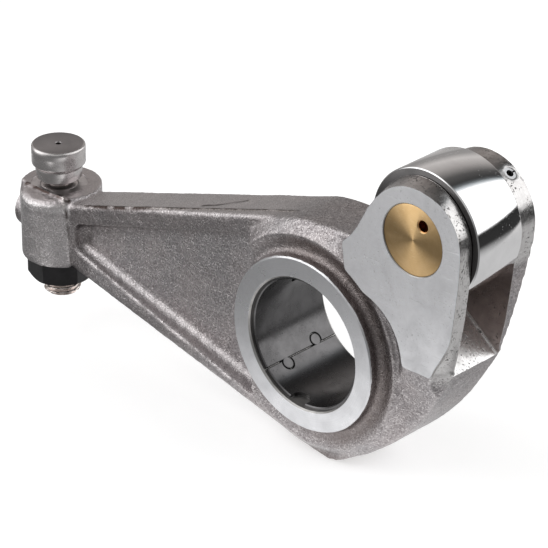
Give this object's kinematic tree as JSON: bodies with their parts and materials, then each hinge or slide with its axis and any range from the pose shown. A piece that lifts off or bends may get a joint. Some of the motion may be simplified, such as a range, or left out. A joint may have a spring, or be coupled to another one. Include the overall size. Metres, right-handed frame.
{
  "type": "rocker arm",
  "caption": "Cast engine rocker arm with a bushed shaft bore, a fork with a roller on a bronze pin, and an adjusting screw with lock nut and swivel foot.",
  "frame": {"origin": "centre of the shaft bore", "axes": "+Y along the shaft bore, +X from the adjusting screw towards the roller, +Z the way the foot and the roller face"},
  "size_m": [0.1948, 0.0336, 0.1062],
  "materials": {
    "cast_steel": "shot-blasted casting with machined faces",
    "bushing_metal": "dark bearing metal",
    "polished_steel": "mirror-ground",
    "bronze": "fine turned",
    "spring_steel": "dull",
    "screw_steel": "oiled thread",
    "black_oxide": "black oxide, satin",
    "ground_steel": "ground and turned",
    "plug_steel": "pressed, satin"
  },
  "bodies": {
    "root": {"rocker_body": "cast_steel", "shaft_bushing": "bushing_metal", "roller_pin": "bronze", "pin_lock": "spring_steel", "oil_gallery_plug": "plug_steel"},
    "roller": {"roller": "polished_steel"},
    "screw": {"adjusting_screw": "screw_steel"},
    "nut": {"lock_nut": "black_oxide"},
    "foot": {"swivel_foot": "ground_steel"}
  },
  "joints": [
    {"name": "roller_spin", "type": "hinge", "parent": "root", "child": "roller", "pos_m": [0.04085, 0, 0.04765], "axis": [0, 1, 0], "continuous": true},
    {"name": "screw_adjust", "type": "slide", "parent": "root", "child": "screw", "axis": [0, 0, 1], "range_m": [-0.0008, 0.004]},
    {"name": "nut_turn", "type": "hinge", "parent": "root", "child": "nut", "pos_m": [-0.1196, 0, -0.01512], "axis": [0, 0, 1], "continuous": true},
    {"name": "foot_tilt", "type": "hinge", "parent": "screw", "child": "foot", "pos_m": [-0.1196, 0, 0.0142], "axis": [0, 1, 0], "range_deg": [-10, 10]}
  ]
}
